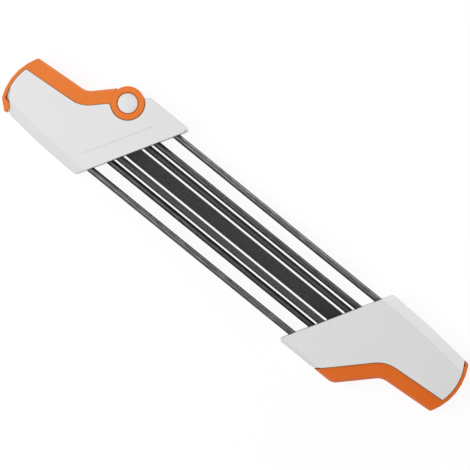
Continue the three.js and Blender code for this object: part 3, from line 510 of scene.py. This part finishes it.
# Zinc plating: a bright bluish grey, clouded as the bath leaves it, and glossier than the rods.
zinc_plating, tree, surface = new_material("zinc_plated_steel")
place = add_node(tree, "ShaderNodeTexCoord").outputs["Object"]
clouds = add_node(tree, "ShaderNodeTexNoise", inputs={
    "Vector": place, "Scale": 1 / PLATING_CLOUD, "Detail": 3})
plate_colour = add_node(tree, "ShaderNodeMix", {"data_type": "RGBA"}, {
    "Factor": clouds.outputs["Fac"], "A": linear("#A3A5A6"), "B": linear("#CDCFD0")})
plate_gloss = add_node(tree, "ShaderNodeMapRange", inputs={
    "Value": clouds.outputs["Fac"], "To Min": 0.22, "To Max": 0.38})
plate_bump = add_node(tree, "ShaderNodeBump", inputs={
    "Height": clouds.outputs["Fac"], "Strength": 0.4, "Distance": PLATING_DEPTH})
plate_shader = add_node(tree, "ShaderNodeBsdfPrincipled", inputs={
    "Base Color": plate_colour.outputs["Result"], "Metallic": 1,
    "Roughness": plate_gloss.outputs["Result"], "Normal": plate_bump.outputs["Normal"]})
tree.links.new(plate_shader.outputs["BSDF"], surface)

screw_nodes = [f"{head}_screw_{i}" for head in ("clamp_head", "fixed_head") for i in (1, 2, 3)]
low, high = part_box(screw_nodes[0])
screw_length = high.z - low.z
hexagon = math.tau / 6
rings = [(SOCKET_DEPTH, SOCKET_APOTHEM, True), (SOCKET_EDGE, SOCKET_APOTHEM, True),
         (0, SOCKET_APOTHEM + SOCKET_EDGE, True), (0, SCREW_HEAD_RADIUS - SCREW_HEAD_EDGE, False),
         (SCREW_HEAD_EDGE, SCREW_HEAD_RADIUS, False), (SCREW_HEAD_HEIGHT, SCREW_HEAD_RADIUS, False),
         (SCREW_HEAD_HEIGHT, SCREW_SHANK_RADIUS, False),
         (screw_length - SCREW_TIP, SCREW_SHANK_RADIUS, False)]
work = bmesh.new()
loops = []
for height, size, six_sided in rings:
    loops.append([])
    for i in range(SCREW_FACES):
        angle = math.tau * i / SCREW_FACES
        reach = size / math.cos(angle % hexagon - hexagon / 2) if six_sided else size
        loops[-1].append(work.verts.new((reach * math.cos(angle), reach * math.sin(angle), height)))
ends = [work.verts.new((0, 0, SOCKET_DEPTH)), work.verts.new((0, 0, screw_length))]
for i in range(SCREW_FACES):
    after = (i + 1) % SCREW_FACES
    for lower, upper in zip(loops, loops[1:]):
        work.faces.new([lower[i], lower[after], upper[after], upper[i]])
    work.faces.new([ends[0], loops[0][i], loops[0][after]])
    work.faces.new([ends[1], loops[-1][i], loops[-1][after]])
bmesh.ops.recalc_face_normals(work, faces=work.faces)
blank = bpy.data.meshes.new("screw_blank")
work.to_mesh(blank)
work.free()
threaded = screw_length - SCREW_TIP - SCREW_PLAIN_LENGTH
thread = grown_mesh(bpy.data.meshes.new("screw_axis"), spiral_tree, {
    "Length": threaded, "Radius": SCREW_SHANK_RADIUS, "Ridge": SCREW_THREAD,
    "Turns": threaded / SCREW_PITCH, "Starts": 1})
thread.transform(Matrix.Translation((0, 0, screw_length - SCREW_TIP - threaded)))

screw_tree, given, out = node_tree("screws_at_points", {"Screw": "NodeSocketObject"})
one_screw = add_node(screw_tree, "GeometryNodeObjectInfo", inputs={"Object": given["Screw"]})
every_screw = add_node(screw_tree, "GeometryNodeInstanceOnPoints", inputs={
    "Points": given["Geometry"], "Instance": one_screw.outputs["Geometry"]})
end_tree(screw_tree, every_screw.outputs["Instances"], zinc_plating, out)

screw_spots = bpy.data.meshes.new("screw_spots")
corners = [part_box(node) for node in screw_nodes]
spots = [((low.x + high.x) / 2, (low.y + high.y) / 2, low.z) for low, high in corners]
screw_spots.from_pydata(spots, [], [])
whole_screw = bpy.data.objects.new("whole_screw", joined("whole_screw", blank, thread))
set_screws = grown_mesh(screw_spots, screw_tree, {"Screw": whole_screw})
screws = new_piece("self_tapping_screws", set_screws, zinc_plating)
bpy.data.objects.remove(whole_screw)
screws.data.shade_smooth()
screws.data.set_sharp_from_angle(angle=SHARP_ANGLE)
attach(screws, "guide")
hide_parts(*screw_nodes)


# Clamp lever and grip cover: channels of injection-moulded orange nylon, each wrapped round the
# outer edge of a head. The lever swings on the hub, and its catch hooks the end of the clamp head.
# The cover is fixed to the other head.
NYLON_GRAIN = 0.8 * MM
NYLON_GRAIN_DEPTH = 0.03 * MM
NYLON_CLOUD = 30 * MM

# Nylon from a spark-eroded mould: a full orange with a dry, grippy grain and only a weak gloss. The
# real grain is about 0.2 mm across, too fine to show, so it is drawn four times as coarse.
for grip_node, body, dark, light in (("clamp_lever", "lever", "#E87B26", "#F38732"),
                                     ("grip_cover", "guide", "#E16A13", "#EB761A")):
    orange_nylon, tree, surface = new_material(grip_node + "_orange_nylon")
    place = add_node(tree, "ShaderNodeTexCoord").outputs["Object"]
    grain = add_node(tree, "ShaderNodeTexNoise", inputs={
        "Vector": place, "Scale": 1 / NYLON_GRAIN, "Detail": 4, "Roughness": 0.65})
    cloud = add_node(tree, "ShaderNodeTexNoise", inputs={
        "Vector": place, "Scale": 1 / NYLON_CLOUD, "Detail": 2})
    cloud_colour = add_node(tree, "ShaderNodeMix", {"data_type": "RGBA"}, {
        "Factor": cloud.outputs["Fac"], "A": linear(dark), "B": linear(light)})
    grain_shade = {"data_type": "RGBA", "blend_type": "MULTIPLY"}
    grain_colour = add_node(tree, "ShaderNodeMix", grain_shade, {
        "Factor": grain.outputs["Fac"], "A": cloud_colour.outputs["Result"],
        "B": linear("#E6D2C4")})
    grain_gloss = add_node(tree, "ShaderNodeMapRange", inputs={
        "Value": grain.outputs["Fac"], "To Min": 0.42, "To Max": 0.58})
    grain_bump = add_node(tree, "ShaderNodeBump", inputs={
        "Height": grain.outputs["Fac"], "Strength": 0.8, "Distance": NYLON_GRAIN_DEPTH})
    nylon_shader = add_node(tree, "ShaderNodeBsdfPrincipled", inputs={
        "Base Color": grain_colour.outputs["Result"], "Roughness": grain_gloss.outputs["Result"],
        "IOR": 1.53, "Specular IOR Level": 0.2, "Normal": grain_bump.outputs["Normal"]})
    tree.links.new(nylon_shader.outputs["BSDF"], surface)
    skin = moulded_skin(grip_node, grip_node + "_skin")
    grip = new_piece(grip_node + "_skin", skin, orange_nylon)
    break_edges(grip)
    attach(grip, body)
    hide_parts(grip_node)


# Hub caps: two white ABS discs with a slightly domed face and a rounded rim, pressed into the
# lever's rings. A square key under each goes down into the hub shaft, so that the lever turns it.
CAP_DOME = 0.5 * MM
CAP_RIM = 0.5 * MM
CAP_RIM_CUT = 0.3
CAP_TO_LEVEL = 1.3 * MM
CAP_FACES = 72
CAP_RINGS = 8
KEY_SIZE = 4 * MM
KEY_EDGE = 0.3 * MM
KEY_EDGE_STEPS = 2

for cap_node, way in (("hub_cap_upper", 1), ("hub_cap_lower", -1)):
    low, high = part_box(cap_node)
    centre = (low + high) / 2
    radius = (high.x - low.x) / 2
    face = (high.z - low.z) / 2
    underside = face - CAP_TO_LEVEL
    dome = [(face - CAP_DOME * (i / CAP_RINGS) ** 2, (radius - CAP_RIM) * i / CAP_RINGS)
            for i in range(CAP_RINGS + 1)]
    rim_top = dome[-1][0]
    rim_cut = CAP_RIM * CAP_RIM_CUT
    rim = [(rim_top - rim_cut, radius - rim_cut), (rim_top - CAP_RIM, radius)]
    disc = turned_mesh("disc", dome + rim + [(underside, radius), (underside, 0)], CAP_FACES)
    disc.transform(Matrix.Rotation(-math.pi / 2, 4, "Y"))
    work = bmesh.new()
    bmesh.ops.create_cube(work, size=1)
    bmesh.ops.scale(work, verts=work.verts, vec=(KEY_SIZE, KEY_SIZE, face + underside))
    bmesh.ops.translate(work, verts=work.verts, vec=(0, 0, (underside - face) / 2))
    bmesh.ops.bevel(work, geom=work.edges[:], offset=KEY_EDGE, segments=KEY_EDGE_STEPS,
                    affect="EDGES")
    key = bpy.data.meshes.new("key")
    work.to_mesh(key)
    work.free()
    mesh = joined(cap_node + "_turned", disc, key)
    turn = Matrix.Rotation(0 if way > 0 else math.pi, 4, "X")
    mesh.transform(Matrix.Translation(centre) @ turn)
    cap = new_piece(cap_node + "_turned", mesh, white_abs)
    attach(cap, "lever")
    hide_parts(cap_node)


# Studio: a sheet of white paper under the guide, a soft lamp above the clamp head, a low lamp on
# the far side of the rods, and a pale room that fills the shadows.
FLOOR_HALF = 3.0
FLOOR_DROP = 0.1 * MM
FLOOR_WHITE_SHARE = 0.88
FLOOR_WHITE = 1.022
KEY_LAMP_PLACE = Vector((-0.42, -0.35, 1.0))
KEY_LAMP_SIZE = (0.6, 0.6)
KEY_LAMP_POWER = 6.5
LOW_LAMP_PLACE = Vector((0, 1.3, 0.25))
LOW_LAMP_SIZE = (0.6, 0.4)
LOW_LAMP_POWER = 6
ROOM_LIGHT = 0.5


def seen_directly(tree):
    """One where the camera looks, also by reflection, and zero for the light on the guide."""
    rays = add_node(tree, "ShaderNodeLightPath").outputs
    open_view = add_node(tree, "ShaderNodeMath", {"operation": "MAXIMUM"}, {
        0: rays["Is Camera Ray"], 1: rays["Is Glossy Ray"]})
    any_view = add_node(tree, "ShaderNodeMath", {"operation": "MAXIMUM"}, {
        0: open_view.outputs["Value"], 1: rays["Is Transmission Ray"]})
    return any_view.outputs["Value"]


# Paper: to the camera and in reflections it is plain white, apart from a small share of matt paper,
# which takes the guide's soft shadow. A white a little over 1 makes the two add up to full white.
paper, tree, surface = new_material("white_paper")
share = add_node(tree, "ShaderNodeMath", {"operation": "MULTIPLY"}, {
    0: seen_directly(tree), 1: FLOOR_WHITE_SHARE})
matt = add_node(tree, "ShaderNodeBsdfDiffuse", inputs={"Color": linear("#F4F4F4")})
white = add_node(tree, "ShaderNodeEmission", inputs={
    "Color": (1, 1, 1, 1), "Strength": FLOOR_WHITE})
mixed = add_node(tree, "ShaderNodeMixShader", inputs={"Fac": share.outputs["Value"]})
tree.links.new(matt.outputs["BSDF"], mixed.inputs[1])
tree.links.new(white.outputs["Emission"], mixed.inputs[2])
tree.links.new(mixed.outputs["Shader"], surface)

work = bmesh.new()
bmesh.ops.create_grid(work, x_segments=2, y_segments=2, size=FLOOR_HALF)
floor_mesh = bpy.data.meshes.new("paper_floor")
work.to_mesh(floor_mesh)
work.free()
floor = bpy.data.objects.new("paper_floor", floor_mesh)
floor.location.z = -FLOOR_DROP
floor_mesh.materials.append(paper)
bpy.context.scene.collection.objects.link(floor)

for lamp_name, lamp_place, lamp_size, lamp_power in (
        ("key_lamp", KEY_LAMP_PLACE, KEY_LAMP_SIZE, KEY_LAMP_POWER),
        ("low_lamp", LOW_LAMP_PLACE, LOW_LAMP_SIZE, LOW_LAMP_POWER)):
    lamp_data = bpy.data.lights.new(lamp_name, "AREA")
    lamp_data.shape = "RECTANGLE"
    lamp_data.size, lamp_data.size_y = lamp_size
    lamp_data.energy = lamp_power
    lamp = bpy.data.objects.new(lamp_name, lamp_data)
    lamp.location = lamp_place
    lamp.rotation_euler = (-lamp_place).to_track_quat("-Z", "Y").to_euler()
    bpy.context.scene.collection.objects.link(lamp)

# Room: white to the camera and in reflections, and half as strong where it lights the guide.
room = bpy.data.worlds.new("pale_room")
room.use_nodes = True
room.node_tree.nodes.clear()
strength = add_node(room.node_tree, "ShaderNodeMapRange", inputs={
    "Value": seen_directly(room.node_tree), "To Min": ROOM_LIGHT, "To Max": 1})
sky = add_node(room.node_tree, "ShaderNodeBackground", inputs={
    "Color": (1, 1, 1, 1), "Strength": strength.outputs["Result"]})
add_node(room.node_tree, "ShaderNodeOutputWorld", inputs={"Surface": sky.outputs["Background"]})
bpy.context.scene.world = room


# Camera: straight above the middle of the guide, turned so that the files run down to the right.
# The lens takes in the frame's width at a height a little below the tops of the heads.
CAMERA_PLACE = Vector((0.5 * MM, 0.1 * MM, 2.0))
CAMERA_TURN = math.radians(39.1)
FRAME_WIDTH = 311.1 * MM
FRAMED_PLANE = 20 * MM
SENSOR_WIDTH = 36

camera_data = bpy.data.cameras.new("camera")
camera_data.sensor_width = SENSOR_WIDTH
camera_data.lens = SENSOR_WIDTH * (CAMERA_PLACE.z - FRAMED_PLANE) / FRAME_WIDTH
camera = bpy.data.objects.new("camera", camera_data)
camera.location = CAMERA_PLACE
camera.rotation_euler = (0, 0, CAMERA_TURN)
bpy.context.scene.collection.objects.link(camera)
bpy.context.scene.camera = camera
bpy.context.scene.view_settings.view_transform = "Standard"
